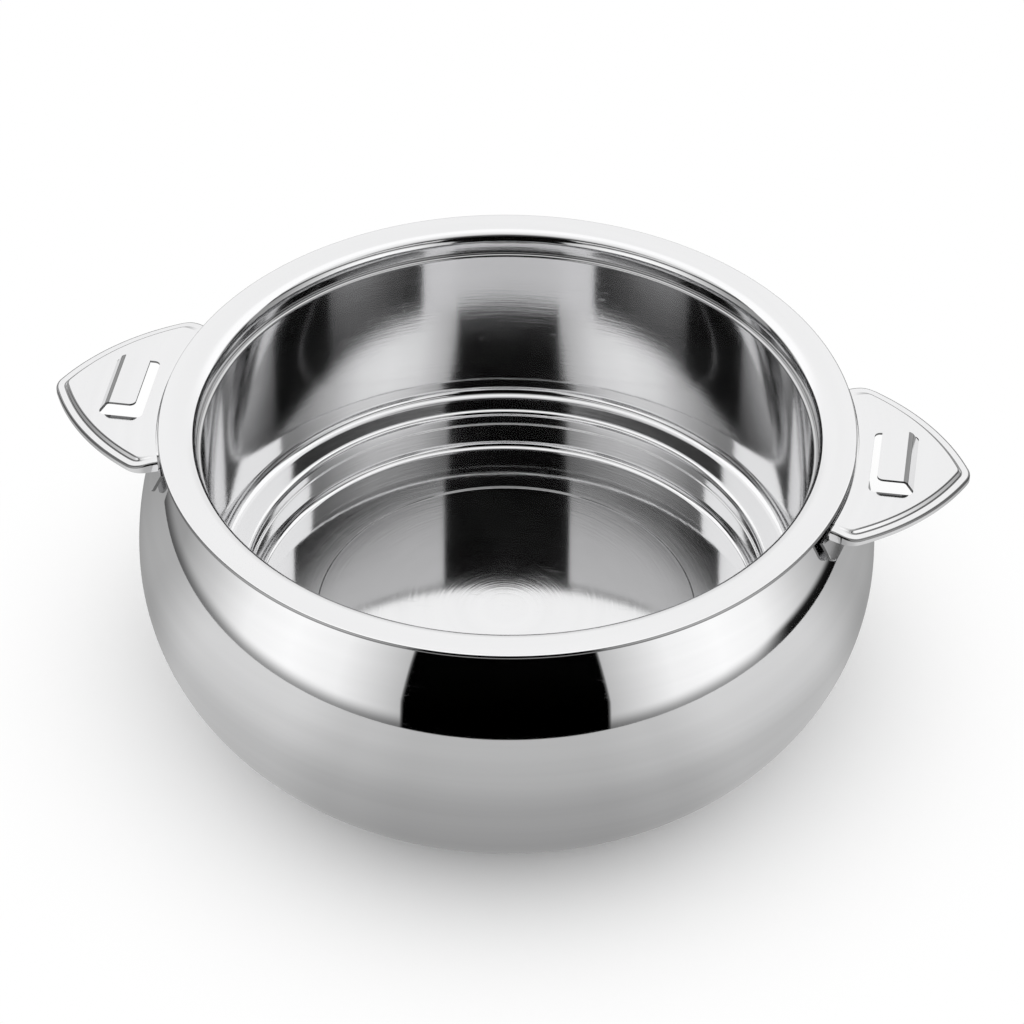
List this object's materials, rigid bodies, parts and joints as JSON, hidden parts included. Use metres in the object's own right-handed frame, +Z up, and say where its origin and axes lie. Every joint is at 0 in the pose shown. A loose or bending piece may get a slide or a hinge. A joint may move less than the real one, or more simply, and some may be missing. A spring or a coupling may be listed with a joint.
{
  "type": "insulated casserole",
  "caption": "Open double-wall steel serving bowl with a flat rolled rim, stepped liner and pick-shaped handles whose raised tongues lock a lid.",
  "frame": {"origin": "centre of the foot ring, on the surface that the casserole stands on", "axes": "+Z up out of the mouth, +X out along the right-hand handle, Y across the handles"},
  "size_m": [0.3044, 0.247, 0.1074],
  "materials": {
    "shell_steel": "mirror-polished stainless steel",
    "vessel_steel": "mirror-polished stainless steel, spun satin inside",
    "foam": "rigid closed-cell foam",
    "base_steel": "spun satin stainless steel",
    "plug_plastic": "moulded plastic",
    "handle_steel": "polished stainless steel",
    "bracket_steel": "polished stainless steel"
  },
  "bodies": {
    "root": {"outer_shell": "shell_steel", "inner_vessel": "vessel_steel", "insulation": "foam", "base_cap": "base_steel", "fill_plug": "plug_plastic", "vent_plug": "plug_plastic", "left_handle_plate": "handle_steel", "right_handle_plate": "handle_steel", "left_handle_bracket": "bracket_steel", "right_handle_bracket": "bracket_steel"}
  },
  "joints": []
}
